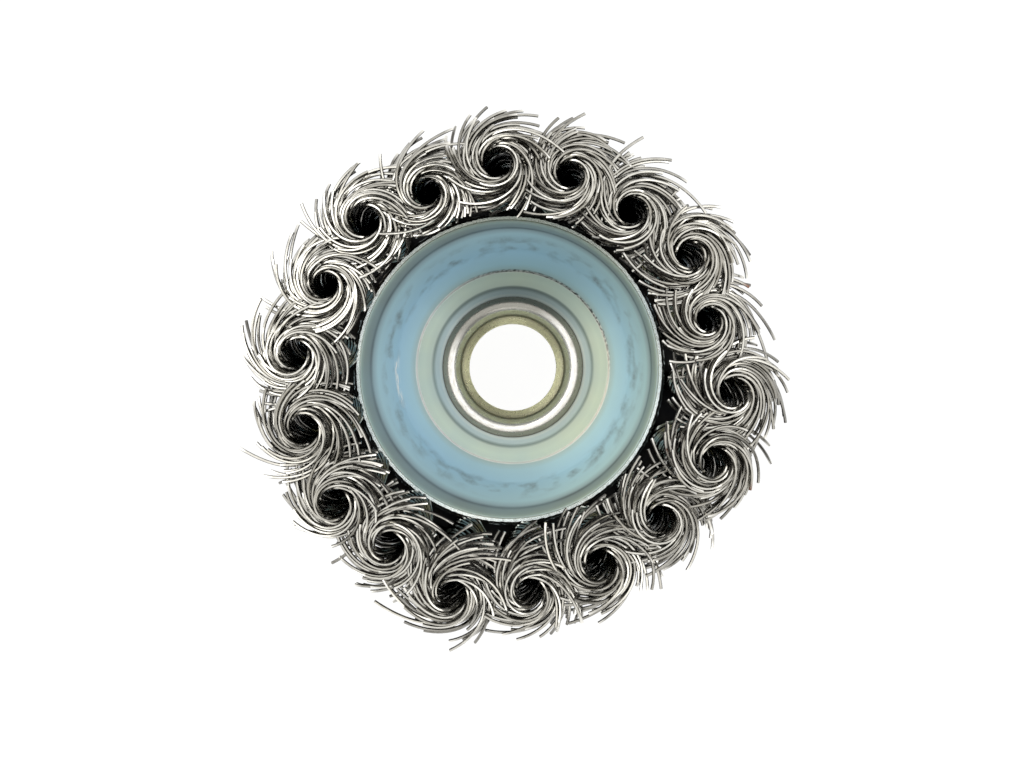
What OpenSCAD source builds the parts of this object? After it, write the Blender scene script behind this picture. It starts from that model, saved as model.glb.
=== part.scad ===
// Knotted wire cup brush, standing on the end face of its hub nut, in millimetres.
// Z runs along the bore towards the working side, and the origin is the middle of the nut's end face.
// A sheet-metal piece is a path of radius and height on its working side, with a bend radius at
// each corner and its thickness below the path. Each knot is modelled upright and then leant outwards.

/* [Hub nut] */
// Bore across the crests of the arbor thread
bore_d = 13.38; // [12:0.01:14.2]
// Mouth of the bore on the working side, at the foot of the rolled edge
mouth_d = 15.6; // [14.8:0.1:16.6]
// Outside of the round spigot that passes through the cup, the ring and the plate
spigot_d = 18.8; // [17.8:0.1:20]
// Outside of the spigot's end once it is rolled over the plate
roll_d = 21.2; // [20.6:0.1:22.4]
// Hexagon across its flats
hex_af = 22.2; // [20:0.1:26]
// Height of the hexagon
hex_h = 11; // [6:0.5:16]
// Slope of the chamfers on the hexagon's corners
corner_angle = 30; // [15:1:40]

/* [Outer cup] */
// Thickness of the cup's sheet
cup_t = 2; // [1.2:0.1:3]
// Height of the cup from its back to its rim
cup_h = 14; // [10:0.5:18]

/* [Knot ring] */
// Thickness of the ring's sheet
ring_t = 2; // [1.2:0.1:2.6]
// Diameter of the ring's flat middle, where it is clamped to the cup
ring_flat_d = 29; // [27:0.5:31]
// Width of the web that each knot is folded over
web_w = 1.2; // [0.8:0.1:2]
// Width of the flat margin on the inner side of each hole
hole_margin = 0.4; // [0.2:0.1:0.8]

/* [Inner plate] */
// Thickness of the plate's sheet
plate_t = 1; // [0.7:0.1:1.4]
// Diameter of the dish across the bright inner edge of its rim
dish_d = 44.9; // [43:0.1:52]
// Depth of the dish from its rim to the land under the rolled edge
dish_depth = 7; // [6:0.1:8]
// Slope of the lip below the rim
lip_angle = 60; // [52:1:68]
// Diameter of the land under the rolled edge
land_d = 23.5; // [23:0.1:24]
// Height of the step round the land
step_h = 0.5; // [0.3:0.05:0.6]
// Diameter of the flat outside that step
flat_d = 28.9; // [27:0.1:30]
// Height of the sharp edge round the flat
edge_h = 0.35; // [0.2:0.05:0.45]
// Place of the knee between the two cones, on the way from the flat's edge (0) to the lip (1)
knee_share = 0.45; // [0.3:0.05:0.7]

/* [Knots] */
// Number of knots round the brush
knot_count = 18; // [14:1:20]
// Direction of the first knot, from which the others follow clockwise
first_angle = 94.8; // [0:0.1:360]
// Lean of each knot away from the bore
lean = 13.5; // [8:0.5:16]
// Length of a knot from the web that it is folded over to its tip
knot_len = 24.6; // [22:0.2:30]
// Thickness of each leg of the folded bundle of wires
leg_d = 2.7; // [2:0.1:3]
// Thickness of the twisted shank
shank_d = 5.6; // [5:0.1:6]
// Length of the plain twisted shank above the web
shank_len = 13; // [11:0.5:15]
// Width of the crown of flared wire ends
crown_d = 13.4; // [11:0.1:14]
// Height of the rounded crown above its widest line
crown_h = 2.3; // [1.5:0.1:3]
// Width of the blind hole in the middle of a knot
throat_d = 4; // [3:0.1:4.4]
// Depth of that hole below the tip
throat_depth = 9; // [6:0.5:11]
// Strands that show round a knot
strands = 10; // [8:1:10]
// Length of shank in which the strands make one whole turn
lay_len = 34; // [26:1:50]
// Turn of the strands from the throat out to the crown's edge
crown_swirl = 105; // [60:5:130]
// Height of the strands' ridges on the crown
ridge_h = 0.3; // [0.1:0.05:0.4]

/* [Fits] */
// Clearance all round the spigot and round each leg in its hole
hole_fit = 0.1; // [0.05:0.01:0.15]
// Gap between the knots and the sheet metal that they stand beside
knot_gap = 0.3; // [0.15:0.05:0.4]
// Gap between the folded ends of the knots and the cup
fold_gap = 0.17; // [0.1:0.01:0.4]
// Gap between the nested cones of the plate and the ring
nest_gap = 0.35; // [0.2:0.05:0.5]
// Gap between the crowns of neighbouring knots
crown_gap = 0.16; // [0.1:0.02:0.4]

/* [Hidden] */
$fn = 96;
arc_steps = 6;
small_bend = 0.2;
cone_bend = 1.5;
lip_bend = 1.2;

// Heights of the clamped stack, from the nut's end face up.
cup_floor_z = hex_h + cup_t;
ring_top_z = cup_floor_z + ring_t;
land_z = ring_top_z + plate_t;
cup_rim_z = hex_h + cup_h;
rim_z = land_z + dish_depth;

// The fold of a knot: two legs joined by a half turn of wire below the web.
leg_r = leg_d / 2;
leg_x = web_w / 2 + hole_fit + leg_r;
fold_r = leg_x + leg_r;
fold_h = -ring_t / 2 - hole_fit;
web_z = cup_floor_z + fold_gap + fold_r - fold_h * cos(lean);
cup_bend = fold_r + fold_gap;

// A knot stands clear of the plate's rim, which sets how far out the whole ring of knots lies.
shank_ridge = ridge_h * 0.4;
shank_r = shank_d / 2;
rim_out = [dish_d / 2 + plate_t * sin(lip_angle), rim_z - plate_t * cos(lip_angle)];
knot_r = rim_out[0] + knot_gap + (shank_r + shank_ridge) / cos(lean) - (rim_out[1] - web_z) * tan(lean);

// A point beside a knot's axis, as radius and height: x outwards across the knot, h along it.
function beside_knot(x, h) =
    [knot_r + x * cos(lean) + h * sin(lean), web_z - x * sin(lean) + h * cos(lean)];

hole_r = leg_r + hole_fit;
ring_edge_x = web_w / 2;
ring_knee_x = -(leg_x + hole_r + hole_margin);
centre_hole_r = spigot_d / 2 + hole_fit;
roll_r = (roll_d - mouth_d) / 4;
roll_mid_r = (roll_d + mouth_d) / 4;

// Corners of the ring and of the plate that nests over it.
ring_corner = [ring_flat_d / 2, ring_top_z];
ring_knee = beside_knot(ring_knee_x, ring_t / 2);
ring_slope = (ring_knee[1] - ring_corner[1]) / (ring_knee[0] - ring_corner[0]);
nest_rise = (nest_gap + plate_t) * sqrt(1 + ring_slope * ring_slope);
function nest_z(r) = ring_corner[1] + nest_rise + (r - ring_corner[0]) * ring_slope;
lip_bend_r = (rim_z - dish_d / 2 * tan(lip_angle) - nest_z(0)) / (ring_slope - tan(lip_angle));

function unit(v) = v / norm(v);
function left_of(v) = [-v[1], v[0]];

// The arc of radius r that rounds corner p between points a and b.
function bend_arc(a, p, b, r) =
    let (
        d1 = unit(p - a),
        d2 = unit(b - p),
        turn = atan2(cross(d1, d2), d1 * d2),
        side = turn < 0 ? -1 : 1,
        start = p - d1 * r * tan(abs(turn) / 2),
        centre = start + left_of(d1) * side * r
    )
    [for (i = [0:arc_steps])
        let (t = turn * i / arc_steps, v = start - centre)
        centre + [v[0] * cos(t) - v[1] * sin(t), v[0] * sin(t) + v[1] * cos(t)]];

// A path with each inner corner rounded to its own radius, and left sharp where that is zero.
function bent(path, radii) =
    [for (i = [0:len(path) - 1])
        each (radii[i] > 0 ? bend_arc(path[i - 1], path[i], path[i + 1], radii[i]) : [path[i]])];

// The offset, at point i of a path, that keeps a parallel path at distance 1 on its right.
function right_offset(path, i) =
    let (
        before = i > 0 ? unit(path[i] - path[i - 1]) : unit(path[1] - path[0]),
        after = i < len(path) - 1 ? unit(path[i + 1] - path[i]) : before,
        n1 = -left_of(before),
        n2 = -left_of(after)
    )
    (n1 + n2) / (1 + n1 * n2);

// The section of a sheet of thickness t below a path.
function sheet_section(path, t) =
    concat(path, [for (i = [len(path) - 1:-1:0]) path[i] + t * right_offset(path, i)]);

module pressed_sheet(corners, bends, t)
{
    rotate_extrude()
        polygon(sheet_section(bent(corners, bends), t));
}

// Hexagon with chamfered corners, and a round spigot whose end is rolled over the plate.
module hub_nut()
{
    corner_r = hex_af / 2 / cos(30);
    chamfer_h = (corner_r - hex_af / 2) * tan(corner_angle);
    lead_h = (mouth_d - bore_d) / 2;
    color([0.78, 0.76, 0.68])
        difference() {
            union() {
                intersection() {
                    cylinder(h = hex_h, r = corner_r, $fn = 6);
                    rotate_extrude()
                        polygon([
                            [0, 0], [hex_af / 2, 0], [corner_r, chamfer_h],
                            [corner_r, hex_h - chamfer_h], [hex_af / 2, hex_h], [0, hex_h]
                        ]);
                }
                cylinder(h = land_z, d = spigot_d);
                rolled_edge();
            }
            translate([0, 0, -1])
                cylinder(h = land_z + 2, d = bore_d);
            translate([0, 0, -lead_h])
                cylinder(h = 2 * lead_h, d1 = bore_d + 4 * lead_h, d2 = bore_d);
            translate([0, 0, land_z - lead_h])
                cylinder(h = 2 * lead_h, d1 = bore_d, d2 = bore_d + 4 * lead_h);
        }
}

// The half-round bead that the spigot's end becomes when it is rolled outwards.
module rolled_edge()
{
    rotate_extrude()
        intersection() {
            translate([roll_mid_r, land_z])
                circle(r = roll_r, $fn = 48);
            translate([mouth_d / 2, land_z])
                square([2 * roll_r, roll_r]);
        }
}

// Pressed cup behind the knots, whose corner follows their folded ends and whose wall leans with them.
module outer_cup()
{
    wall_x = fold_r + fold_gap;
    wall_foot_r = knot_r + (cup_floor_z - web_z) * tan(lean) + wall_x / cos(lean);
    wall_top_r = knot_r + (cup_rim_z - web_z) * tan(lean) + wall_x / cos(lean);
    color([0.66, 0.70, 0.72])
        pressed_sheet(
            [[centre_hole_r, cup_floor_z], [wall_foot_r, cup_floor_z], [wall_top_r, cup_rim_z]],
            [0, cup_bend, 0],
            cup_t
        );
}

// Dished ring with one hole for each knot, square to the knot's axis.
module knot_ring()
{
    color([0.48, 0.49, 0.50])
        difference() {
            pressed_sheet(
                [
                    [centre_hole_r, ring_top_z],
                    ring_corner,
                    ring_knee,
                    beside_knot(ring_edge_x, ring_t / 2)
                ],
                [0, ring_t, ring_t + small_bend, 0],
                ring_t
            );
            for (i = [1:knot_count])
                at_knot(i)
                    translate([-leg_x, 0, -2 * ring_t])
                        cylinder(h = 4 * ring_t, r = hole_r, $fn = 32);
        }
}

// Zinc-plated dish: land, step, flat, sharp edge, two cones and a steep lip with a sheared rim.
module inner_plate()
{
    land_r = land_d / 2;
    flat_r = flat_d / 2;
    flat_z = land_z + step_h;
    edge_r = flat_r + edge_h * 0.3;
    knee_r = edge_r + (lip_bend_r - edge_r) * knee_share;
    color([0.61, 0.76, 0.80])
        pressed_sheet(
            [
                [centre_hole_r, land_z],
                [land_r, land_z],
                [land_r + step_h * 0.8, flat_z],
                [flat_r, flat_z],
                [edge_r, flat_z + edge_h],
                [knee_r, nest_z(knee_r)],
                [lip_bend_r, nest_z(lip_bend_r)],
                [dish_d / 2, rim_z]
            ],
            [0, small_bend, small_bend, 0, 0, cone_bend, lip_bend, 0],
            plate_t
        );
}

// Moves a knot from the Z axis to its place in the ring.
module at_knot(i)
{
    rotate([0, 0, first_angle - (i - 1) * 360 / knot_count])
        translate([knot_r, 0, web_z])
            rotate([0, lean, 0])
                children();
}

// Outline of a knot from its root up the shank, out along the flare, over the crown and down the
// throat. Each entry is [radius, height, turn], and the strands turn left-handed as they climb.
root_h = ring_t / 2 + knot_gap;
brim_h = knot_len - crown_h;
brim_r = crown_d / 2;
throat_r = throat_d / 2;
function lay_turn(h) = -360 * (h - root_h) / lay_len;
brim_turn = lay_turn(brim_h) - crown_swirl / 2;
shank_rings = 4;
flare_rings = 5;
crown_rings = 5;
knot_outline = concat(
    [for (i = [0:shank_rings - 1])
        let (u = i / shank_rings, h = root_h + (shank_len - root_h) * u)
        [shank_r + (fold_r + 0.05 - shank_r) * pow(1 - u, 4), h, lay_turn(h)]],
    [for (i = [0:flare_rings - 1])
        let (a = 90 * i / flare_rings, h = shank_len + (brim_h - shank_len) * sin(a))
        [
            shank_r + (brim_r - shank_r) * (1 - cos(a)),
            h,
            lay_turn(h) + (brim_turn - lay_turn(brim_h)) * pow(1 - cos(a), 1.2)
        ]],
    [for (i = [0:crown_rings])
        let (a = 180 * i / crown_rings)
        [
            (brim_r + throat_r) / 2 + (brim_r - throat_r) / 2 * cos(a),
            brim_h + crown_h * sin(a),
            brim_turn + crown_swirl * i / crown_rings
        ]],
    [[throat_r * 0.85, knot_len - throat_depth, brim_turn + crown_swirl]]
);

// How far a knot may reach at height h in direction phi before it would meet its neighbour.
function room(phi, h) =
    let (
        k = tan(180 / knot_count),
        spread = abs(sin(phi)) - k * cos(phi) * cos(lean)
    )
    spread > 0 ? (k * (knot_r + h * sin(lean)) - crown_gap / 2 / cos(180 / knot_count)) / spread : brim_r * 2;

// One point of ring j of the outline: crests and valleys take turns, square to the outline.
function knot_point(j, i) =
    let (
        last = len(knot_outline) - 1,
        here = knot_outline[j],
        along = knot_outline[min(j + 1, last)] - knot_outline[max(j - 1, 0)],
        out = unit([along[1], -along[0]]),
        height = j == 0 || j == last ? 0 : j < shank_rings + 2 ? shank_ridge : ridge_h,
        ridge = (i % 2 == 0 ? 1 : -1) * height,
        phi = here[2] + 180 * i / strands,
        h = here[1] + ridge * out[1],
        r = min(here[0] + ridge * out[0], room(phi, h))
    )
    [r * cos(phi), r * sin(phi), h];

// Twisted shank and swirled crown of wire ends with the blind hole in its middle.
module strands_body()
{
    ring_count = len(knot_outline);
    side = 2 * strands;
    points = [for (j = [0:ring_count - 1]) for (i = [0:side - 1]) knot_point(j, i)];
    walls = [for (j = [0:ring_count - 2]) for (i = [0:side - 1])
        let (
            a = j * side + i,
            b = j * side + (i + 1) % side
        )
        each [[a, a + side, b], [b, a + side, b + side]]];
    bottom = [for (i = [0:side - 1]) i];
    top = [for (i = [side - 1:-1:0]) (ring_count - 1) * side + i];
    polyhedron(points, concat(walls, [bottom, top]), convexity = 6);
}

// One knot: a bundle of wire folded over the ring's web, twisted, and flared at its ends.
module knot(i)
{
    color([0.56, 0.55, 0.53])
        at_knot(i)
            union() {
                strands_body();
                for (side = [-1, 1])
                    translate([side * leg_x, 0, fold_h])
                        cylinder(h = root_h - fold_h + 0.3, r = leg_r, $fn = 32);
                translate([0, 0, fold_h])
                    rotate([-90, 0, 0])
                        rotate_extrude(angle = 180)
                            translate([leg_x, 0])
                                circle(r = leg_r, $fn = 32);
            }
}

function knot_name(i) = str("knot_", i < 10 ? "0" : "", i);

hub_nut();
outer_cup();
knot_ring();
inner_plate();
for (i = [1:knot_count])
    knot(i);
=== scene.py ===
from math import cos, pi, radians, sin, tan

import bpy
import numpy as np
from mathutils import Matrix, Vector


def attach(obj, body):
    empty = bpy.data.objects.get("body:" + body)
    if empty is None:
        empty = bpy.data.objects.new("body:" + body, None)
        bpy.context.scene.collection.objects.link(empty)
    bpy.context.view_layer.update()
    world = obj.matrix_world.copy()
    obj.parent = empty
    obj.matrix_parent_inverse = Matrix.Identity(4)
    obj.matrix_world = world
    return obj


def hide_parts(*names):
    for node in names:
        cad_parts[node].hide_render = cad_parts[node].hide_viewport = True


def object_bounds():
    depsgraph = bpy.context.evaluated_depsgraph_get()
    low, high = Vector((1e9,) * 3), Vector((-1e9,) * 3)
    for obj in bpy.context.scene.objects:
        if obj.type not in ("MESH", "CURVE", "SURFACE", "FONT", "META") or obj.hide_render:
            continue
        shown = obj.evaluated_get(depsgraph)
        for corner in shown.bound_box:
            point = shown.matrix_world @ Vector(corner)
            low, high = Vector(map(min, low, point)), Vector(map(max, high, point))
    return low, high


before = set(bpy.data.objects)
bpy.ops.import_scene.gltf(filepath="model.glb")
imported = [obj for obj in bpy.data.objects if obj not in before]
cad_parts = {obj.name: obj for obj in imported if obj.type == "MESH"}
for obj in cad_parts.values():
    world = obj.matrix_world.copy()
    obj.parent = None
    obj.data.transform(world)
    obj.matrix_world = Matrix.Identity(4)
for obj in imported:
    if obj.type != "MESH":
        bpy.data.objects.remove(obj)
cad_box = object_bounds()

# Camera, floor and light.
# The view runs straight down the bore from 0.6 m above the wire tips. The floor is white paper, and
# the light is a soft pale sky with four broad lamps: one beyond the picture's top left corner, one
# towards its lower edge, and one each at the left and the right.
MM = 0.001
tips_z = cad_box[1].z
view_distance = 600 * MM
view_width = 148.5 * MM
picture_width = 1024
picture_height = 768
bore_across = 512.8  # place of the bore's middle in the picture, in pixels
bore_down = 367.0
bore_mouth_z = 16 * MM

camera_data = bpy.data.cameras.new("camera")
camera_data.sensor_width = 36
camera_data.lens = 36 * view_distance / view_width
camera_data.clip_end = 10
camera = bpy.data.objects.new("camera", camera_data)
pixel = view_width / picture_width * (1 + (tips_z - bore_mouth_z) / view_distance)
camera.location = (
    (picture_width / 2 - bore_across) * pixel,
    (bore_down - picture_height / 2) * pixel,
    tips_z + view_distance,
)
bpy.context.scene.collection.objects.link(camera)
bpy.context.scene.camera = camera
bpy.context.scene.view_settings.view_transform = "Standard"


def node_maker(tree):
    """A function that adds one node to a tree. It takes the node's type, its inputs by name or
    number, and its settings. An input that is another node's output socket becomes a link."""

    def add(kind, inputs=None, **settings):
        node = tree.nodes.new(kind)
        for key, value in settings.items():
            setattr(node, key, value)
        for key, value in (inputs or {}).items():
            if isinstance(value, bpy.types.NodeSocket):
                tree.links.new(value, node.inputs[key])
            else:
                node.inputs[key].default_value = value
        return node

    return add


def maths(add, operation, a, b):
    """The result of one sum on two values, such as MULTIPLY."""
    return add("ShaderNodeMath", {0: a, 1: b}, operation=operation).outputs[0]


def blank_material(name):
    """A material with an empty node tree, and the function that adds nodes to it."""
    material = bpy.data.materials.new(name)
    material.use_nodes = True
    material.node_tree.nodes.clear()
    return material, node_maker(material.node_tree)


def paper_floor():
    """White paper: plain paper for the light that bounces, and nearly self-white where it is seen,
    with a little lit paper added so that it keeps the brush's shadow."""
    material, add = blank_material("paper_floor")
    paper = add("ShaderNodeBsdfDiffuse", {"Color": (0.6, 0.6, 0.6, 1)})
    white = add("ShaderNodeEmission", {"Color": (1, 1, 1, 1), "Strength": 0.94})
    lit = add("ShaderNodeBsdfDiffuse", {"Color": (0.12, 0.12, 0.12, 1)})
    seen_paper = add("ShaderNodeAddShader", {0: white.outputs[0], 1: lit.outputs[0]})
    path = add("ShaderNodeLightPath")
    looked_at = maths(add, "MAXIMUM", path.outputs["Is Camera Ray"], path.outputs["Is Glossy Ray"])
    looked_at = maths(add, "MAXIMUM", looked_at, path.outputs["Is Transmission Ray"])
    mix = add("ShaderNodeMixShader", {0: looked_at, 1: paper.outputs[0], 2: seen_paper.outputs[0]})
    add("ShaderNodeOutputMaterial", {"Surface": mix.outputs[0]})
    return material


floor_reach = 3.0
floor_corners = [(-1, -1), (1, -1), (1, 1), (-1, 1)]
floor_mesh = bpy.data.meshes.new("floor")
floor_mesh.from_pydata(
    [(x * floor_reach, y * floor_reach, 0) for x, y in floor_corners], [], [(0, 1, 2, 3)]
)
floor_mesh.materials.append(paper_floor())
floor = bpy.data.objects.new("floor", floor_mesh)
bpy.context.scene.collection.objects.link(floor)

# The sky is bright overhead and dim at the horizon. It is shaded towards the picture's lower edge,
# where the photographer leans over the brush.
sky_dim = 0.05
sky_bright = 1.2
sky_dim_below = 0.28  # heights on the unit sphere of the sky
sky_bright_above = 0.80
shade_direction = Vector((0.15, -0.85, 0.42)).normalized()
shade_share = 0.75
shade_edge = 0.66  # cosines of the angle from the middle of the shade
shade_core = 0.93
world = bpy.data.worlds.new("sky")
bpy.context.scene.world = world
world.use_nodes = True
world.node_tree.nodes.clear()
add_sky = node_maker(world.node_tree)
sky_point = add_sky("ShaderNodeTexCoord")
sky_height = add_sky("ShaderNodeSeparateXYZ", {0: sky_point.outputs["Generated"]})
sky_level = add_sky(
    "ShaderNodeMapRange",
    {
        "Value": sky_height.outputs["Z"],
        "From Min": sky_dim_below,
        "From Max": sky_bright_above,
        "To Min": sky_dim,
        "To Max": sky_bright,
    },
    interpolation_type="SMOOTHSTEP",
)
towards_shade = add_sky(
    "ShaderNodeVectorMath",
    {0: sky_point.outputs["Generated"], 1: shade_direction},
    operation="DOT_PRODUCT",
)
sky_unshaded = add_sky(
    "ShaderNodeMapRange",
    {
        "Value": towards_shade.outputs["Value"],
        "From Min": shade_edge,
        "From Max": shade_core,
        "To Min": 1.0,
        "To Max": 1 - shade_share,
    },
    interpolation_type="SMOOTHSTEP",
)
sky_strength = maths(add_sky, "MULTIPLY", sky_level.outputs[0], sky_unshaded.outputs[0])
sky_light = add_sky("ShaderNodeBackground", {"Color": (1, 1, 1, 1), "Strength": sky_strength})
add_sky("ShaderNodeOutputWorld", {"Surface": sky_light.outputs[0]})


def soft_lamp(name, direction, distance, size, energy):
    """A square lamp that faces the middle of the brush from a direction, at a distance."""
    direction = Vector(direction).normalized()
    data = bpy.data.lights.new(name, "AREA")
    data.size = size
    data.energy = energy
    lamp = bpy.data.objects.new(name, data)
    lamp.location = Vector((0, 0, tips_z / 2)) + direction * distance
    lamp.rotation_mode = "QUATERNION"
    lamp.rotation_quaternion = direction.to_track_quat("Z", "Y")
    bpy.context.scene.collection.objects.link(lamp)


soft_lamp("key_lamp", (-0.50, 0.50, 0.72), distance=0.8, size=0.5, energy=1.8)
soft_lamp("front_lamp", (0.05, -0.75, 0.66), distance=0.9, size=0.5, energy=1.5)
soft_lamp("left_lamp", (-0.80, 0.05, 0.60), distance=0.9, size=0.5, energy=1.3)
soft_lamp("right_lamp", (0.84, 0.12, 0.56), distance=0.9, size=0.5, energy=1.6)

# Inner plate.
# A dish pressed from 1 mm steel sheet and zinc plated to a pale blue. Its middle is stepped where it
# is clamped under the rolled hub, its cones nest on the knot ring, and its rim is left as sheared.
plate_sheet = 1.0
plate_turns = 576  # points round the dish
plate_step = 0.35  # the longest step along its section
rim_shift = np.array((-0.55, -0.35))  # the rim was pressed off centre
rim_burr_h = 0.02
rim_waver_h = 0.03
rim_torn_depth = 0.07
plate_path = [  # radius and height of each corner of the working side, and its bend radius
    (9.5, 15.80, 0),
    (11.65, 16.05, 0.3),
    (12.25, 16.40, 0.3),
    (14.38, 16.66, 0.08),
    (14.60, 16.96, 0.1),
    (17.48, 18.41, 2.5),
    (21.06, 20.60, 1.2),
    (22.45, 23.0, 0),
]


def bent_path(corners, steps=7):
    """The points of a path whose corners are rounded. A corner is cut back by its bend radius times
    the tangent of half its turn, and an arc of that radius joins the two cuts."""
    corners = np.array(corners, float)
    points = []
    for i, (x, y, bend) in enumerate(corners):
        corner = np.array((x, y))
        if not bend:
            points.append(corner)
            continue
        arrive = corner - corners[i - 1, :2]
        leave = corners[i + 1, :2] - corner
        arrive = arrive / np.linalg.norm(arrive)
        leave = leave / np.linalg.norm(leave)
        turn = np.arctan2(arrive[0] * leave[1] - arrive[1] * leave[0], arrive @ leave)
        side = np.array((-arrive[1], arrive[0])) * np.sign(turn) * bend
        start = corner - arrive * bend * tan(abs(turn) / 2)
        angles = turn * np.linspace(0, 1, steps)
        arc = start + side + np.stack(
            [
                -side[0] * np.cos(angles) + side[1] * np.sin(angles),
                -side[0] * np.sin(angles) - side[1] * np.cos(angles),
            ],
            axis=1,
        )
        points.extend(arc)
    return np.array(points)


def right_normals(path):
    """At each point, the step to the right that keeps a parallel path one unit away: the sum of the
    normals of the two spans that meet there, over one plus their dot product."""
    spans = np.diff(path, axis=0)
    spans = spans / np.linalg.norm(spans, axis=1, keepdims=True)
    normals = np.stack([spans[:, 1], -spans[:, 0]], axis=1)
    before = np.vstack([normals[:1], normals])
    after = np.vstack([normals, normals[-1:]])
    return (before + after) / (1 + np.sum(before * after, axis=1, keepdims=True))


def refined(path, longest):
    """The same path with each span cut into equal pieces no longer than a given length."""
    points = [path[:1]]
    for a, b in zip(path[:-1], path[1:]):
        pieces = int(np.ceil(np.linalg.norm(b - a) / longest))
        points.append(a + (b - a) * np.linspace(0, 1, pieces + 1)[1:, None])
    return np.vstack(points)


def sheet_outline(path, thickness, edge_steps=4):
    """The closed outline of a sheet that lies to the right of a path, with its cut edges square."""
    other = path + right_normals(path) * thickness
    across = np.linspace(0, 1, edge_steps + 1)[1:-1, None]
    end_edge = path[-1] + (other[-1] - path[-1]) * across
    start_edge = other[0] + (path[0] - other[0]) * across
    return np.vstack([path, end_edge, other[::-1], start_edge])


def spun(outline, turns):
    """Points of an outline of radius and height spun round the Z axis: rows follow the outline and
    columns the angle, with x = r cos(angle), y = r sin(angle), z = height."""
    angle = np.linspace(0, 2 * pi, turns, endpoint=False)
    r, z = outline[:, 0, None], outline[:, 1, None]
    return np.stack([r * np.cos(angle), r * np.sin(angle), z + 0 * angle], axis=2), angle


def closed_grid_faces(rows, columns):
    """Four-sided faces of a grid that closes on itself both ways."""
    row, column = np.meshgrid(np.arange(rows), np.arange(columns), indexing="ij")
    next_row, next_column = (row + 1) % rows, (column + 1) % columns
    corners = [(row, column), (row, next_column), (next_row, next_column), (next_row, column)]
    return np.stack([r * columns + c for r, c in corners], axis=2).reshape(-1, 4)


def metal_piece(name, points, faces, material, sharp_angle=35):
    """A smooth-shaded mesh object in metres from points in millimetres. If the faces enclose a
    negative volume, a sixth of the sum of a . (b x c), they are turned over to face outwards."""
    points = points.reshape(-1, 3)
    a, b, c, d = (points[faces[:, i]] for i in range(4))
    volume = np.sum(a * np.cross(b, c)) + np.sum(a * np.cross(c, d))
    if volume < 0:
        faces = faces[:, ::-1]
    mesh = bpy.data.meshes.new(name)
    mesh.vertices.add(len(points))
    mesh.vertices.foreach_set("co", (points * MM).astype(np.float32).ravel())
    mesh.loops.add(faces.size)
    mesh.loops.foreach_set("vertex_index", faces.astype(np.int32).ravel())
    mesh.polygons.add(len(faces))
    mesh.polygons.foreach_set("loop_start", np.arange(0, faces.size, 4, dtype=np.int32))
    mesh.update(calc_edges=True)
    mesh.validate()
    mesh.shade_smooth()
    mesh.set_sharp_from_angle(angle=radians(sharp_angle))
    mesh.materials.append(material)
    piece = bpy.data.objects.new(name, mesh)
    bpy.context.scene.collection.objects.link(piece)
    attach(piece, "root")
    return piece


def set_attribute(mesh, name, domain, values):
    """Stores one number for each point or face of a mesh under a name."""
    layer = mesh.attributes.new(name, "FLOAT", domain)
    layer.data.foreach_set("value", np.asarray(values, np.float32).ravel())


def smooth_rise(x, low, high):
    """Nought below low and one above high, with the cubic 3t^2 - 2t^3 between."""
    t = np.clip((x - low) / (high - low), 0, 1)
    return t * t * (3 - 2 * t)


def round_ripple(angle, rng, lowest, highest):
    """A ripple round the axis, of unit size: a sum of sines of whole numbers of waves between the
    lowest and highest, each with its own random size and phase, so that it closes on itself."""
    waves = np.arange(lowest, highest + 1)[:, None]
    size = rng.normal(size=waves.shape)
    phase = rng.uniform(0, 2 * pi, size=waves.shape)
    return (size * np.sin(waves * angle + phase)).sum(axis=0) / np.sqrt(len(waves))


def polar_nodes(add, around, across):
    """Nodes for patterns that follow the turning of a part. They give the radius in millimetres,
    and a point (around x/r, around y/r, across r) at which a noise runs round the part without a
    seam, stretched by the ratio of the two numbers."""
    place = add("ShaderNodeTexCoord")
    parts = add("ShaderNodeSeparateXYZ", {0: place.outputs["Object"]})
    flat = add("ShaderNodeCombineXYZ", {"X": parts.outputs["X"], "Y": parts.outputs["Y"]})
    radius = add("ShaderNodeVectorMath", {0: flat.outputs[0]}, operation="LENGTH")
    radius_mm = maths(add, "MULTIPLY", radius.outputs["Value"], 1000.0)
    unit = add("ShaderNodeVectorMath", {0: flat.outputs[0]}, operation="NORMALIZE")
    around_point = add(
        "ShaderNodeVectorMath", {0: unit.outputs[0], "Scale": around}, operation="SCALE"
    )
    split = add("ShaderNodeSeparateXYZ", {0: around_point.outputs[0]})
    across_r = maths(add, "MULTIPLY", radius_mm, across)
    point = add(
        "ShaderNodeCombineXYZ",
        {"X": split.outputs["X"], "Y": split.outputs["Y"], "Z": across_r},
    )
    return radius_mm, point.outputs[0], place.outputs["Object"]


def noise(add, place, scale, detail, roughness=0.5):
    """A noise read at a place."""
    inputs = {"Vector": place, "Scale": scale, "Detail": detail, "Roughness": roughness}
    return add("ShaderNodeTexNoise", inputs).outputs[0]


def towards(add, place, direction):
    """How far a place lies towards a direction: the dot product of the two."""
    node = add("ShaderNodeVectorMath", {0: place, 1: direction}, operation="DOT_PRODUCT")
    return node.outputs["Value"]


def ramp(add, value, stops, interpolation="LINEAR"):
    """A colour ramp over a value, from a list of places and colours."""
    node = add("ShaderNodeValToRGB", {0: value})
    node.color_ramp.interpolation = interpolation
    elements = node.color_ramp.elements
    while len(elements) < len(stops):
        elements.new(0.5)
    for element, (position, colour) in zip(elements, stops):
        element.position = position
        element.color = (*colour, 1)
    return node.outputs[0]


def zoned_colour(add, radius, zones):
    """A colour that changes with the radius, from a list of radii in millimetres and colours."""
    low, high = zones[0][0], zones[-1][0]
    place = add("ShaderNodeMapRange", {"Value": radius, "From Min": low, "From Max": high})
    return ramp(add, place.outputs[0], [((r - low) / (high - low), c) for r, c in zones])


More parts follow.
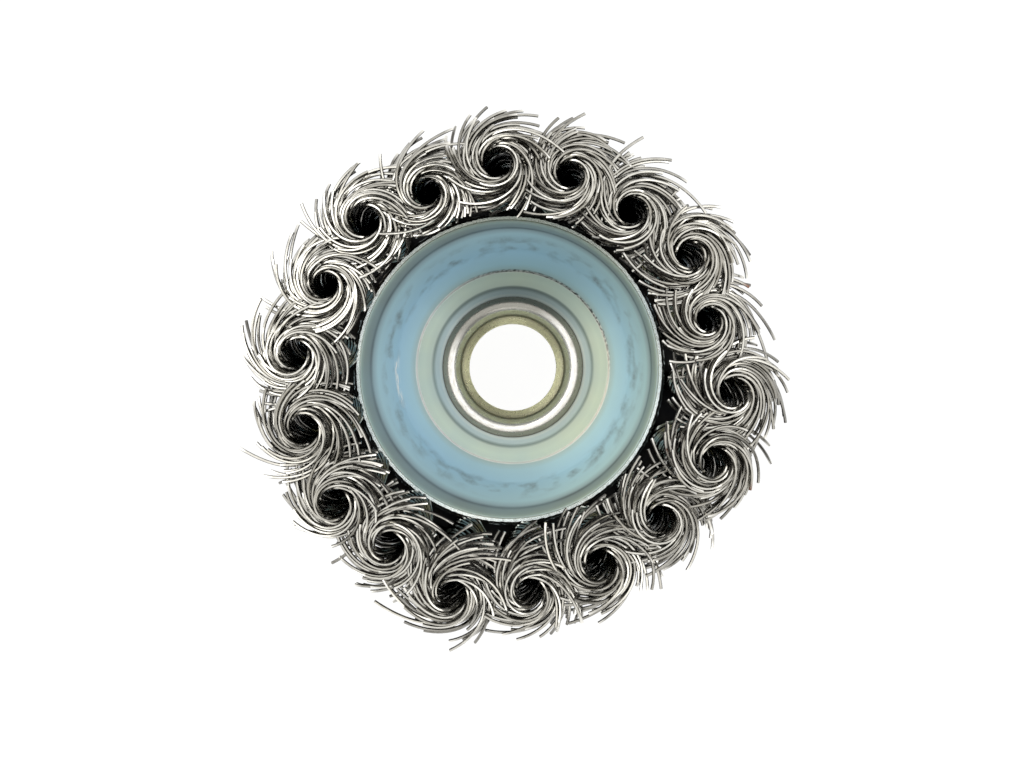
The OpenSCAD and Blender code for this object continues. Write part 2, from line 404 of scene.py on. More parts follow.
def blend_colour(add, factor, a, b, mode="MIX"):
    """One colour mixed into another by a factor."""
    node = add("ShaderNodeMix", data_type="RGBA", blend_type=mode)
    for socket, value in ((0, factor), (6, a), (7, b)):
        if isinstance(value, bpy.types.NodeSocket):
            node.id_data.links.new(value, node.inputs[socket])
        else:
            node.inputs[socket].default_value = value
    return node.outputs[2]


def remap(add, value, low, high, to_low=0.0, to_high=1.0):
    """A value moved from one range to another, and held inside it."""
    node = add(
        "ShaderNodeMapRange",
        {"Value": value, "From Min": low, "From Max": high, "To Min": to_low, "To Max": to_high},
    )
    return node.outputs[0]


def band(add, radius, start, full, fading, gone):
    """A ring: it rises from nought to one between two radii and falls back between two others."""
    rise = remap(add, radius, start, full)
    return maths(add, "MULTIPLY", rise, remap(add, radius, gone, fading))


def metal_finish(add, colour, roughness, bumps=(), metallic=1.0):
    """The metal's shader and output. Each bump is a height, a strength and a depth in millimetres."""
    normal = None
    for height, strength, depth in bumps:
        inputs = {"Height": height, "Strength": strength, "Distance": depth * MM}
        if normal is not None:
            inputs["Normal"] = normal
        normal = add("ShaderNodeBump", inputs).outputs[0]
    inputs = {"Base Color": colour, "Metallic": metallic, "Roughness": roughness}
    if normal is not None:
        inputs["Normal"] = normal
    shader = add("ShaderNodeBsdfPrincipled", inputs)
    add("ShaderNodeOutputMaterial", {"Surface": shader.outputs[0]})


def blue_zinc():
    """Zinc plating of the dish: pale green on the flat middle, blue on the cones, greyer on the
    lip. Painted shade lies as dark lines at the bead's foot, in the groove, at the bend below the
    lip and on the sheared edge, and painted highlights lie as bright lines beside the bead, at the
    step of the flat and along the rim. It has rubbed dark spots round the outer cone, a ragged
    painted shadow on the upper side of the step of the flat, a painted warm cast of light on its
    right side, painted shade over its upper side, a scratch at the left and fine turning lines."""
    material, add = blank_material("blue_zinc")
    _, streaks, place = polar_nodes(add, around=6.0, across=9.0)
    radius = add("ShaderNodeAttribute", attribute_name="pressed_radius").outputs["Fac"]
    # Painted into the zones: dark lines of painted shade at the bead's foot (10.4), in the groove
    # (12.0) and at the bend below the lip (21.08). Painted highlights: a thin bright line beside the
    # bead (10.9), a white line at the step of the flat (14.42 to 14.62) and a white line along the
    # rim (22.32 to 22.9). Beyond the rim, the sheared edge is bare cut steel, painted near black as
    # painted shade.
    zones = zoned_colour(
        add,
        radius,
        [
            (10.4, (0.30, 0.36, 0.36)),
            (10.9, (0.66, 0.74, 0.70)),
            (11.2, (0.50, 0.62, 0.62)),
            (11.75, (0.46, 0.57, 0.56)),
            (12.0, (0.26, 0.33, 0.30)),
            (12.4, (0.58, 0.68, 0.58)),
            (13.4, (0.64, 0.76, 0.64)),
            (14.3, (0.60, 0.72, 0.62)),
            (14.42, (1.0, 1.0, 0.97)),
            (14.62, (1.0, 1.0, 0.97)),
            (14.76, (0.46, 0.62, 0.62)),
            (15.6, (0.45, 0.70, 0.80)),
            (17.2, (0.40, 0.66, 0.82)),
            (17.6, (0.38, 0.64, 0.80)),
            (20.2, (0.42, 0.64, 0.71)),
            (20.8, (0.32, 0.45, 0.49)),
            (21.08, (0.17, 0.22, 0.24)),
            (21.3, (0.31, 0.40, 0.42)),
            (21.8, (0.37, 0.46, 0.45)),
            (22.1, (0.50, 0.62, 0.57)),
            (22.32, (0.92, 1.0, 0.94)),
            (22.9, (0.96, 1.0, 0.96)),
            (22.97, (0.46, 0.44, 0.37)),
            (23.1, (0.16, 0.15, 0.12)),
            (23.4, (0.06, 0.055, 0.045)),
        ],
    )
    cloud = noise(add, place, 90.0, 3.0)
    cloud_part = remap(add, cloud, 0.35, 0.7, 0.0, 0.35)
    colour = blend_colour(add, cloud_part, zones, (0.38, 0.58, 0.68, 1))

    _, blots, _ = polar_nodes(add, around=6.0, across=0.9)
    rub = remap(add, noise(add, blots, 1.1, 1.5), 0.46, 0.72)
    scuff = remap(add, noise(add, place, 2200.0, 3.0), 0.3, 0.65, 0.5, 1.0)
    rub_here = maths(add, "MULTIPLY", rub, scuff)
    rub_here = maths(add, "MULTIPLY", rub_here, band(add, radius, 16.9, 17.9, 18.8, 20.0))
    rub_part = remap(add, rub_here, 0.0, 1.0, 0.0, 0.65)
    colour = blend_colour(add, rub_part, colour, (0.16, 0.19, 0.19, 1))

    # Painted shadow: a ragged dark line along the step of the flat, on its upper side only.
    step_shadow_ragged = remap(add, noise(add, blots, 5.0, 3.0), 0.40, 0.62)
    step_shadow_side = remap(add, towards(add, place, (0.5, 0.86, 0.0)), 0.006, 0.012)
    step_shadow_here = maths(add, "MULTIPLY", step_shadow_ragged, step_shadow_side)
    step_shadow_part = maths(add, "MULTIPLY", step_shadow_here, band(add, radius, 14.38, 14.48, 14.72, 14.86))
    colour = blend_colour(add, step_shadow_part, colour, (0.08, 0.10, 0.10, 1))

    # Painted warm light: the right side of the dish, inside the rim, is tinted warmer.
    warm_light_side = remap(add, towards(add, place, (0.9, -0.4, 0.0)), -0.006, 0.020)
    warm_light_part = maths(add, "MULTIPLY", warm_light_side, remap(add, radius, 22.25, 22.1))
    colour = blend_colour(add, warm_light_part, colour, (1.0, 0.93, 0.80, 1), "MULTIPLY")

    # Painted shade: the dish's upper side is darkened from the middle out to the lip, most at the
    # groove and the step, and again along the rim.
    upper_share = maths(add, "DIVIDE", towards(add, place, (0.1, 0.99, 0.0)), radius)
    upper_shade_colour = zoned_colour(
        add,
        radius,
        [
            (12.2, (0.36, 0.39, 0.39)),
            (12.4, (0.58, 0.60, 0.57)),
            (14.4, (0.58, 0.60, 0.57)),
            (14.6, (0.35, 0.38, 0.37)),
            (14.9, (0.58, 0.65, 0.65)),
            (17.5, (0.75, 0.80, 0.80)),
            (22.0, (1.0, 1.0, 1.0)),
            (22.3, (0.5, 0.5, 0.45)),
        ],
    )
    upper_shade_share = remap(add, upper_share, 0.00045, 0.00100)
    colour = blend_colour(add, upper_shade_share, colour, upper_shade_colour, "MULTIPLY")

    scratch_share = maths(add, "DIVIDE", towards(add, place, (-0.99, -0.13, 0)), radius)
    scratch_here = remap(add, scratch_share, 0.00097, 0.00099)
    scratch_here = maths(add, "MULTIPLY", scratch_here, band(add, radius, 17.0, 17.3, 17.6, 17.9))
    scratch_line = remap(add, noise(add, streaks, 1.6, 3.0), 0.48, 0.6)
    scratch_part = maths(add, "MULTIPLY", scratch_here, scratch_line)
    colour = blend_colour(add, scratch_part, colour, (0.95, 0.97, 0.93, 1))

    lines = noise(add, streaks, 9.0, 2.0)
    roughness = remap(add, lines, 0.3, 0.7, 0.5, 0.62)
    roughness = maths(add, "MINIMUM", roughness, remap(add, radius, 22.24, 22.36, 1.0, 0.2))
    metallic = remap(add, radius, 22.24, 22.36, 0.35, 0.95)
    metal_finish(add, colour, roughness, [(lines, 0.25, 0.02), (cloud, 0.2, 0.2)], metallic)
    return material


plate_side = refined(bent_path(plate_path), plate_step)
plate_outline = sheet_outline(plate_side, plate_sheet)
level_part = slice(len(plate_side), len(plate_side) + 2)  # the inner half of the rim's edge
plate_outline[level_part, 1] = plate_path[-1][1]
plate_points, plate_angle = spun(plate_outline, plate_turns)
plate_rng = np.random.default_rng(3)
pressed_radius = plate_outline[:, :1] + 0 * plate_angle
near_rim = smooth_rise(plate_points[:, :, 2], 22.0, 23.0) * smooth_rise(pressed_radius, 21.9, 22.5)
rim_burr = round_ripple(plate_angle, plate_rng, 40, 150) * rim_burr_h
rim_waver = round_ripple(plate_angle, plate_rng, 2, 9) * rim_waver_h
plate_points[:, :, 2] += near_rim * (rim_burr + rim_waver)
torn_edge = smooth_rise(pressed_radius, 22.6, 23.2) * round_ripple(plate_angle, plate_rng, 30, 200)
plate_points[:, :, :2] *= 1 + (torn_edge * rim_torn_depth / pressed_radius)[:, :, None]
plate_points[:, :, :2] += smooth_rise(plate_points[:, :, 2:], 19.0, 22.5) * rim_shift
plate_faces = closed_grid_faces(*plate_points.shape[:2])
plate = metal_piece("dish", plate_points, plate_faces, blue_zinc())
set_attribute(plate.data, "pressed_radius", "POINT", pressed_radius)
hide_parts("inner_plate")

# Hub nut.
# A turned steel hexagon with a right-hand thread through it, zinc plated yellow. Its round spigot
# holds the cup, the ring and the dish, and its end is rolled out over the dish into a worn bead.
hub_across_flats = 22.2
hub_hexagon_h = 11.0
hub_corner_slope = radians(30)
hub_chamfer_h = 1.4
hub_chamfer_inset = 0.25
thread_crest_r = 6.69
thread_root_r = 7.94
thread_pitch = 2.31
spigot_r = 9.4
bead_foot_z = 16.0
bead_path = [  # the thread's last flank, a shoulder, and the rolled bead: radius, height, bend radius
    (6.69, 13.9, 0),
    (7.74, 14.45, 0.1),
    (7.86, 15.3, 0.1),
    (8.62, 17.05, 0.2),
    (9.3, 17.5, 1.2),
    (9.95, 17.25, 0.45),
    (10.65, 16.0, 0),
]


def thread_depth(angle, height):
    """How far below its crest a 60 degree thread lies: a triangle wave of the turns climbed, cut
    off flat for an eighth of the pitch at the crest and a quarter at the root."""
    climbed = (height / thread_pitch - angle / (2 * pi)) % 1
    wave = np.clip((np.abs(climbed * 2 - 1) - 0.25) / 0.625, 0, 1)
    return wave * (thread_root_r - thread_crest_r)


def hub_surface(turns=192):
    """The hub as one grid. The bore's radius is the crest radius plus the thread's depth, or the
    mouth's cone where that is wider, and the thread runs out below its last flank. The hexagon's
    radius is half its width over the cosine of the angle from the middle of a flat, held by the
    cone of its chamfer."""
    angle = np.linspace(0, 2 * pi, turns, endpoint=False)
    top_z = bead_path[0][1]
    z = np.linspace(0, top_z - 0.05, 140)[:, None] + 0 * angle
    depth = thread_depth(angle, z) * (1 - smooth_rise(z, top_z - 0.8, top_z - 0.1))
    mouth = thread_root_r - z
    bore_r = np.minimum(np.maximum(thread_crest_r + depth, mouth), thread_root_r)
    bead_rows = bent_path(bead_path, 8)
    outside = [(spigot_r, bead_foot_z), (spigot_r, hub_hexagon_h)]
    flat_angle = (angle + radians(30)) % radians(60) - radians(30)
    hexagon_r = hub_across_flats / 2 / np.cos(flat_angle)
    upper_chamfer = np.linspace(hub_hexagon_h, hub_hexagon_h - hub_chamfer_h, 8)
    hexagon_z = np.concatenate([upper_chamfer, np.linspace(hub_chamfer_h, 0, 8)])
    z_hex = hexagon_z[:, None] + 0 * angle
    end_gap = np.minimum(hub_hexagon_h - z_hex, z_hex)
    chamfer_r = hub_across_flats / 2 - hub_chamfer_inset + end_gap / tan(hub_corner_slope)
    hex_r = np.minimum(hexagon_r, chamfer_r)
    turned = np.vstack([bead_rows, outside])[:, :, None] + 0 * angle
    radius = np.vstack([bore_r, turned[:, 0], hex_r])
    height = np.vstack([z, turned[:, 1], z_hex])
    return np.stack([radius * np.cos(angle), radius * np.sin(angle), height], axis=2)


def yellow_zinc():
    """Yellow zinc on the thread and its mouth. The bead's crest is worn bright metal and painted near
    white as a painted highlight, with a thin painted highlight on its inner slope. It has a brown
    tarnish on its flanks, dark painted shade on the shoulder at the thread's end and at the bead's
    foot, and painted shade over the bead's top side."""
    material, add = blank_material("yellow_zinc")
    radius, streaks, place = polar_nodes(add, around=9.0, across=4.0)
    # Painted into the zones: dark painted shade on the shoulder at the thread's end (7.78 to 7.92)
    # and at the bead's foot (10.65), a thin painted highlight near the top of the bead's inner slope
    # (8.66), and the near-white crest (9.2 to 9.7), which is worn bright metal and also a painted
    # highlight.
    zones = zoned_colour(
        add,
        radius,
        [
            (6.5, (0.80, 0.80, 0.48)),
            (7.3, (0.88, 0.86, 0.54)),
            (7.68, (0.62, 0.60, 0.40)),
            (7.78, (0.05, 0.06, 0.04)),
            (7.92, (0.10, 0.12, 0.09)),
            (8.1, (0.44, 0.48, 0.38)),
            (8.5, (0.60, 0.66, 0.55)),
            (8.66, (0.90, 0.92, 0.86)),
            (8.85, (0.84, 0.83, 0.76)),
            (9.2, (0.98, 0.97, 0.92)),
            (9.7, (0.96, 0.94, 0.86)),
            (9.95, (0.64, 0.58, 0.48)),
            (10.4, (0.60, 0.55, 0.46)),
            (10.65, (0.16, 0.14, 0.11)),
            (13.0, (0.52, 0.50, 0.40)),
        ],
    )
    tarnish = noise(add, streaks, 0.8, 4.0, 0.65)
    tarnish_part = remap(add, tarnish, 0.45, 0.75, 0.0, 0.5)
    colour = blend_colour(add, tarnish_part, zones, (0.34, 0.28, 0.20, 1))
    # Painted shade: the bead's top side is painted duller.
    top_side = remap(add, towards(add, place, (-0.25, 0.97, 0.0)), 0.004, 0.0075)
    top_shade_part = maths(add, "MULTIPLY", top_side, remap(add, radius, 8.7, 8.95))
    colour = blend_colour(add, top_shade_part, colour, (0.34, 0.33, 0.29, 1))
    lines = noise(add, streaks, 6.0, 2.0)
    roughness = remap(add, tarnish, 0.3, 0.7, 0.24, 0.36)
    metal_finish(add, colour, roughness, [(lines, 0.2, 0.02)], metallic=0.8)
    return material


hub_points = hub_surface()
hub = metal_piece("hub", hub_points, closed_grid_faces(*hub_points.shape[:2]), yellow_zinc(), 30)
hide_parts("hub_nut")

# Outer cup.
# A deep cup pressed from 2 mm steel sheet and zinc plated. Its corner follows the folded ends of the
# knots and its wall leans out with them, and the hub nut's shoulder clamps its middle.
cup_sheet = 2.0
cup_turns = 256
cup_step = 1.0
cup_path = [(9.5, 13.0, 0), (28.01, 13.0, 3.57), (30.89, 25.0, 0)]


def cup_zinc():
    """Zinc plating of the cup: pale blue grey, clouded, with rub marks and fine lines round it, and
    painted black inside as painted shade, where the ring, the knots and the dish close it in."""
    material, add = blank_material("cup_zinc")
    _, streaks, place = polar_nodes(add, around=5.0, across=3.0)
    cloud = noise(add, place, 60.0, 4.0)
    colour = ramp(
        add,
        cloud,
        [(0.3, (0.36, 0.45, 0.50)), (0.5, (0.47, 0.56, 0.60)), (0.7, (0.50, 0.56, 0.54))],
    )
    rub = noise(add, streaks, 0.35, 8.0, 0.7)
    rub_part = remap(add, rub, 0.52, 0.75, 0.0, 0.35)
    colour = blend_colour(add, rub_part, colour, (0.2, 0.2, 0.19, 1))
    # Painted shade: the inside of the cup is painted black.
    inside = add("ShaderNodeAttribute", attribute_name="inside")
    colour = blend_colour(add, inside.outputs["Fac"], colour, (0.02, 0.02, 0.02, 1))
    lines = noise(add, streaks, 12.0, 2.0)
    roughness = remap(add, rub, 0.3, 0.7, 0.34, 0.5)
    metal_finish(add, colour, roughness, [(lines, 0.2, 0.03), (cloud, 0.2, 0.2)])
    return material


cup_inner_path = refined(bent_path(cup_path, 14), cup_step)
cup_outline = sheet_outline(cup_inner_path, cup_sheet)
cup_points, _ = spun(cup_outline, cup_turns)
cup = metal_piece("cup", cup_points, closed_grid_faces(*cup_points.shape[:2]), cup_zinc())
cup_row = np.arange(len(cup_outline))[:, None] + 0 * cup_points[:, :, 0]
set_attribute(cup.data, "inside", "POINT", cup_row < len(cup_inner_path))
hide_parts("outer_cup")

# Knot ring.
# A dished ring of bare 2 mm steel sheet with a drilled hole for each knot. It lies between the cup
# and the dish, and only its outer edge can be seen between the wires, painted nearly black as
# painted shade.


def painted_shade_steel():
    """Bare steel, dull, painted nearly black as painted shade between the wires, with brown spots."""
    material, add = blank_material("painted_shade_steel")
    place = add("ShaderNodeTexCoord")
    spots = noise(add, place.outputs["Object"], 300.0, 5.0)
    colour = ramp(
        add,
        spots,
        [(0.35, (0.02, 0.02, 0.022)), (0.55, (0.035, 0.035, 0.035)), (0.7, (0.035, 0.028, 0.02))],
    )
    roughness = remap(add, spots, 0.3, 0.7, 0.5, 0.7)
    metal_finish(add, colour, roughness, [(spots, 0.2, 0.05)])
    return material


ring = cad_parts["knot_ring"]
ring.data.materials.clear()
ring.data.materials.append(painted_shade_steel())

# Knots.
# Each knot is forty-four lengths of hard-drawn 0.46 mm steel wire, folded over the ring's web and
# twisted left-handed into a rope with a blind hole. Its eighty-eight cut ends flare and curl.
wire_r = 0.23
first_knot_angle = 94.8
knot_lean = radians(13.5)
ring_of_knots_r = 25.45
web_z = 17.64
leg_out = 2.05  # from the knot's axis to the middle of each folded leg
leg_spread = 1.08
fold_h = -1.1
lay_length = 34.0

# The wires lie in layers, from the wall of the hole outwards, and each layer flares below the last.
pairs_in_layer = (3, 5, 7, 8, 10, 11)
first_share = 0.10  # the outward share of a wire's level run where it leaves the rope
share_step = 0.03  # what each layer adds to that share
root_r = 1.3  # the first layer's radius at the foot of the rope
layer_step = 0.44
layer_drop = 0.55
flare_from_h = 22.5
flare_length = 16.0
layer_shortening = 0.10
end_slope = -11  # degrees above the level at a wire's end
end_swirl = 65  # degrees from straight outwards at a wire's end
broken_share = 0.35  # of the wires, how many are broken off short in the flare
stray_share = 0.025  # and how many stand out, longer and steeper

# Oil and painted shade darken the wires deep in the knot, and painted shade darkens their
# undersides. Some ends are worn bright and also carry a painted highlight, and a few are rusty.
oil_and_shade_top_h = flare_from_h + 1.2
oil_and_shade_fade_h = 5.0
oil_and_shade_inner_layers = 2
oil_and_shade_inner = 0.95
oil_and_shade_outer = 0.55
underside_shade = 0.75
worn_and_glint_share = 0.5
rusty_share = 0.008
tip_points = 2  # how many points of a wire its worn or rusty tip takes

# The middle of each knot's hole in the picture, and the hole's radius, in pixels. The knots run
# clockwise from the top. Use has bent them unevenly, and each is bent here until its hole fits.
knot_holes = [
    (497, 165, 15),
    (569, 176, 14),
    (631, 211, 15),
    (688, 255, 14),
    (707, 320, 12),
    (729, 391, 14),
    (711, 460, 14),
    (660, 517, 14),
    (600, 562, 15),
    (530, 588, 14),
    (454, 590, 14),
    (391, 544, 15),
    (338, 501, 15),
    (308, 428, 15),
    (298, 355, 14),
    (327, 286, 13),
    (366, 223, 16),
    (427, 193, 14),
]
hole_h = 22.5
hole_share = 0.88  # of the radius in the picture, what the hole is drawn with
hole_margin = 0.4  # how far outside its neighbours' holes a knot's wires end
flare_steps = 20
dish_clear_r = 22.9  # the circle at the dish's rim that most wires keep out of
dish_clear_spread = 0.45
first_seed = 100
knot_count = len(knot_holes)


def knot_frame(number):
    """The web's place, and three directions of a knot: across it, sideways and along it."""
    turn = radians(first_knot_angle - number * 360 / knot_count)
    out = np.array((cos(turn), sin(turn), 0))
    side = np.array((-sin(turn), cos(turn), 0))
    up = np.array((0, 0, 1))
    across = out * cos(knot_lean) - up * sin(knot_lean)
    along = out * sin(knot_lean) + up * cos(knot_lean)
    return out * ring_of_knots_r + up * web_z, across, side, along


def clump_values(rng, count, spread):
    """A random value for each of a row of wires, alike within clumps of two to five of them."""
    sizes = rng.integers(2, 6, size=count)
    clump = np.repeat(np.arange(count), sizes)[:count]
    return rng.normal(0, spread, size=count)[clump]


def layer_wires(rng, layer, hole_r):
    """Middle lines of one layer's wires in the knot's own frame, as an array of wires by points.

    Up the shank a wire is a left-handed helix whose radius eases from the root's to the throat's.
    In the flare its slope falls from the helix's to the end slope, with what is left of the fall
    shrinking as the fourth power of the length left. Its outward share, the cosine of its swirl,
    grows from the first share, and what is left to grow shrinks as the 1.25th power. Its radius,
    height and turn are the sums of cos(slope) cos(swirl), sin(slope) and cos(slope) sin(swirl) /
    radius, each times the step. The lines take no account of each other and may cross."""
    pairs = pairs_in_layer[layer]
    arms = 2 * pairs
    throat_r = hole_r + wire_r + layer * layer_step + rng.normal(0, 0.03 + 0.02 * layer, arms)
    start_h = flare_from_h - layer * layer_drop + clump_values(rng, arms, 0.15)
    length = flare_length - layer * layer_shortening + clump_values(rng, arms, 0.7)
    length = length - np.abs(rng.normal(0, 2.6 - 0.3 * layer, arms))
    broken = rng.random(arms) < broken_share
    length = length * np.where(broken, rng.uniform(0.58, 0.88, arms), 1)
    last_slope = end_slope + clump_values(rng, arms, 3) + rng.normal(0, 3, arms)
    last_swirl = end_swirl + clump_values(rng, arms, 6) + rng.normal(0, 8, arms)
    stray = rng.random(arms) < stray_share
    last_slope = last_slope + stray * rng.uniform(5, 18, arms)
    length = length + stray * rng.uniform(1.5, 3.5, arms)
    gather = clump_values(rng, arms, 0.06)

    spread = (np.arange(pairs) + 0.5) / pairs * pi - pi / 2
    base_turn = np.concatenate([spread, spread + pi]) + rng.normal(0, 0.05, arms)
    base_turn = base_turn + 0.6 + layer * 0.28

    shank = np.linspace(0, 1, 11)
    shank_h = fold_h + (start_h[:, None] - fold_h) * shank
    swell = smooth_rise(shank_h, 5.0, 17.0)
    layer_root_r = root_r + layer * layer_step
    shank_r = layer_root_r + (throat_r[:, None] - layer_root_r) * swell
    shank_turn = base_turn[:, None] - 2 * pi * shank_h / lay_length

    u = (np.arange(flare_steps) + 0.5) / flare_steps
    first_slope = np.degrees(np.arctan2(lay_length, 2 * pi * throat_r))
    slope = np.radians(last_slope[:, None] + (first_slope - last_slope)[:, None] * (1 - u) ** 4)
    last_share = np.cos(np.radians(last_swirl))[:, None]
    share = first_share + layer * share_step
    swirl = np.arccos(last_share + (share - last_share) * (1 - u) ** 1.25)
    step = length[:, None] / flare_steps
    level = np.cos(slope) * step
    flare_r = throat_r[:, None] + np.cumsum(level * np.cos(swirl), axis=1)
    flare_h = start_h[:, None] + np.cumsum(np.sin(slope) * step, axis=1)
    flare_turn = shank_turn[:, -1:] - np.cumsum(level * np.sin(swirl) / flare_r, axis=1)
    flare_turn = flare_turn + gather[:, None] * u

    h = np.hstack([shank_h, flare_h])
    r = np.hstack([shank_r, flare_r])
    turn = np.hstack([shank_turn, flare_turn])
    x, y = r * np.cos(turn), r * np.sin(turn)

    leg_turn = rng.uniform(0, 2 * pi, pairs)
    leg_reach = leg_spread * np.sqrt(rng.uniform(0, 1, pairs))
    leg_x = leg_out + leg_reach * np.cos(leg_turn)
    leg_y = leg_reach * np.sin(leg_turn)
    sides = np.where(np.arange(arms) < pairs, 1, -1)
    ease = smooth_rise(h, 0.6, 6.0)
    x = ease * x + (1 - ease) * (np.tile(leg_x, 2) * sides)[:, None]
    y = ease * y + (1 - ease) * np.tile(leg_y, 2)[:, None]

    arm = np.stack([x, y, h], axis=2)
    half_turn = np.linspace(0, pi, 8)[1:-1]
    fold = np.stack(
        [
            leg_x[:, None] * np.cos(half_turn),
            leg_y[:, None] + 0 * half_turn,
            fold_h - leg_x[:, None] * np.sin(half_turn),
        ],
        axis=2,
    )
    return np.concatenate([arm[:pairs, ::-1], fold, arm[pairs:]], axis=1)


def trimmed(lines, place, circles):
    """The lines with each end that reaches inside a circle, as seen from above, cut back to it.

    An end is cut after its last point inside any of the circles, each a middle and a radius, and
    its points are spread again over what is left by straight interpolation."""
    for end in (lines, lines[:, ::-1]):
        flare = end[:, :flare_steps].copy()
        seen = place(flare)[..., :2]
        inside = np.zeros(seen.shape[:2], bool)
        for middle, clear_r in circles:
            inside |= np.linalg.norm(seen - middle, axis=2) < clear_r
        cut = np.max(inside * np.arange(1, flare_steps + 1), axis=1).clip(0, flare_steps - 4)
        spread = cut[:, None] + (flare_steps - 1 - cut[:, None]) * np.linspace(0, 1, flare_steps)
        low = np.minimum(spread.astype(int), flare_steps - 2)
        part = (spread - low)[:, :, None]
        row = np.arange(len(lines))[:, None]
        end[:, :flare_steps] = flare[row, low] * (1 - part) + flare[row, low + 1] * part
    return lines


def wire_tubes(lines, sides=6):
    """Tubes round middle lines, as points and four-sided faces, closed by a cap at each end.

    A ring of the tube is the middle plus wire_r (cos a N1 + sin a N2). N1 is the way out from the
    knot's axis, or from the middle of the fold, made square to the wire, and N2 is T x N1. The last
    result is nought on top of a wire and grows to the level share of its run underneath."""
    wires, stations = lines.shape[:2]
    tangent = np.gradient(lines, axis=1)
    tangent /= np.linalg.norm(tangent, axis=2, keepdims=True)
    outward = lines.copy()
    outward[:, :, 2] = np.minimum(lines[:, :, 2] - fold_h, 0)
    n1 = outward - np.sum(outward * tangent, axis=2, keepdims=True) * tangent
    n1 /= np.linalg.norm(n1, axis=2, keepdims=True)
    n2 = np.cross(tangent, n1)
    angle = np.linspace(0, 2 * pi, sides, endpoint=False)
    ring = np.cos(angle)[:, None] * n1[:, :, None] + np.sin(angle)[:, None] * n2[:, :, None]
    points = lines[:, :, None] + wire_r * ring
    station, side = np.meshgrid(np.arange(stations - 1), np.arange(sides), indexing="ij")
    next_side = (side + 1) % sides
    corners = [(station, side), (station, next_side), (station + 1, next_side), (station + 1, side)]
    wall = np.stack([s * sides + c for s, c in corners], axis=2).reshape(-1, 4)
    caps = []
    for base, order in ((0, -1), ((stations - 1) * sides, 1)):
        rim = base + np.arange(sides)[::order]
        caps += [[rim[0], rim[i], rim[i + 1], rim[i + 2]] for i in range(1, sides - 2, 2)]
    one = np.vstack([wall, np.array(caps)])
    offsets = np.arange(wires)[:, None, None] * stations * sides
    level = np.sqrt(1 - np.clip(tangent[:, :, None, 2], -1, 1) ** 2)
    underside = level * (1 - smooth_rise(ring[..., 2], 0.1, 0.9))
    return points, (one[None] + offsets).reshape(-1, 4), underside


def drawn_wire():
    """Bare hard-drawn wire: grey steel, each wire its own tone, dark down in the knot with oil and
    painted shade, with painted shade on the undersides, bright worn ends that are also a painted
    highlight, and a few rusty tips."""
    material, add = blank_material("drawn_wire")
    place = add("ShaderNodeTexCoord")
    tone = add("ShaderNodeAttribute", attribute_name="tone")
    oil_and_shade = add("ShaderNodeAttribute", attribute_name="oil_and_shade")
    worn_and_glint = add("ShaderNodeAttribute", attribute_name="worn_and_glint")
    rust = add("ShaderNodeAttribute", attribute_name="rust")
    grain = noise(add, place.outputs["Object"], 900.0, 3.0)
    mixed = maths(add, "ADD", tone.outputs["Fac"], grain)
    colour = ramp(
        add,
        remap(add, mixed, 0.3, 1.7),
        [(0.0, (0.30, 0.285, 0.245)), (0.5, (0.54, 0.52, 0.465)), (1.0, (0.80, 0.78, 0.71))],
    )
    # Oil and painted shade: dark down in the knot, and painted shade under each wire.
    colour = blend_colour(add, oil_and_shade.outputs["Fac"], colour, (0.035, 0.035, 0.04, 1))
    # Worn bright ends, which are also a painted highlight.
    colour = blend_colour(add, worn_and_glint.outputs["Fac"], colour, (0.88, 0.86, 0.80, 1))
    colour = blend_colour(add, rust.outputs["Fac"], colour, (0.15, 0.06, 0.035, 1))
    roughness = remap(add, grain, 0.3, 0.7, 0.14, 0.26)
    metal_finish(add, colour, roughness)
    return material


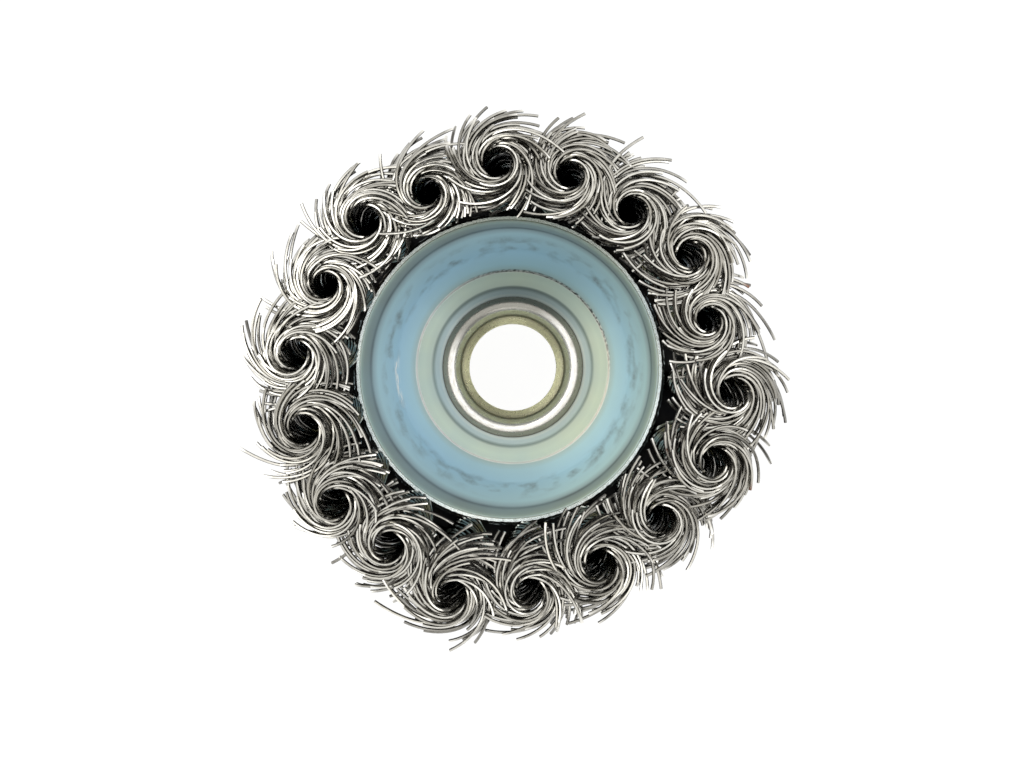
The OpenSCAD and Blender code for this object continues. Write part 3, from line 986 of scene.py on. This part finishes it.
wire_material = drawn_wire()
hole_z = web_z + hole_h * cos(knot_lean)
pixel_at_holes = view_width / picture_width * (1 / MM + (tips_z / MM - hole_z) / view_distance)
seen_holes = np.array(knot_holes, float) * pixel_at_holes
seen_holes -= np.array((bore_across, bore_down, 0)) * pixel_at_holes
hole_middles = seen_holes[:, :2] * (1, -1)
hole_radii = seen_holes[:, 2] * hole_share
for number in range(knot_count):
    rng = np.random.default_rng(first_seed + number)
    web, across, side, along = knot_frame(number)
    shift = np.append(hole_middles[number], hole_z) - (web + hole_h * along)

    def place(points, web=web, across=across, side=side, along=along, shift=shift):
        """Points of the knot's own frame placed on the ring and bent by shift times (h / H)^2."""
        bend = (np.clip(points[..., 2:], 0, None) / hole_h) ** 2
        x, y, h = points[..., :1], points[..., 1:2], points[..., 2:]
        return web + x * across + y * side + h * along + bend * shift

    layers = range(len(pairs_in_layer))
    lines = np.concatenate([layer_wires(rng, layer, hole_radii[number]) for layer in layers])
    dish_circle = (rim_shift, dish_clear_r + rng.normal(0, dish_clear_spread, (len(lines), 1)))
    neighbours = [number - 1, (number + 1) % knot_count]
    hole_circles = [(hole_middles[n], hole_radii[n] + hole_margin) for n in neighbours]
    lines = trimmed(lines, place, [dish_circle, *hole_circles])
    tubes, faces, underside = wire_tubes(lines)
    placed = place(tubes)
    knot = metal_piece(f"twisted_knot_{number + 1:02d}", placed, faces, wire_material, 50)

    each_point = np.zeros(tubes.shape[:3])  # wires by points along a wire by points round it
    tone = rng.uniform(0, 1, len(lines))[:, None, None]
    layer_of_wire = np.repeat(layers, pairs_in_layer)[:, None, None]
    # Oil and painted shade darken the wires deep in the knot, the inner layers most.
    oil_and_shade_share = np.where(layer_of_wire < oil_and_shade_inner_layers, oil_and_shade_inner, oil_and_shade_outer)
    oil_and_shade = oil_and_shade_share * smooth_rise(oil_and_shade_top_h - tubes[..., 2], 0, oil_and_shade_fade_h)
    # Painted shade on each wire's underside.
    oil_and_shade = np.maximum(oil_and_shade, underside_shade * underside)
    along_wire = np.arange(tubes.shape[1])
    tip = np.clip(1 - np.minimum(along_wire, along_wire[::-1]) / tip_points, 0, 1)[:, None]
    # Worn bright tips, which are also a painted highlight.
    worn_and_glint = (rng.random(len(lines)) < worn_and_glint_share)[:, None, None] * tip
    rust = (rng.random(len(lines)) < rusty_share)[:, None, None] * tip
    for attribute, values in (("tone", tone), ("oil_and_shade", oil_and_shade), ("worn_and_glint", worn_and_glint), ("rust", rust)):
        set_attribute(knot.data, attribute, "POINT", values + each_point)
    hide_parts(f"knot_{number + 1:02d}")
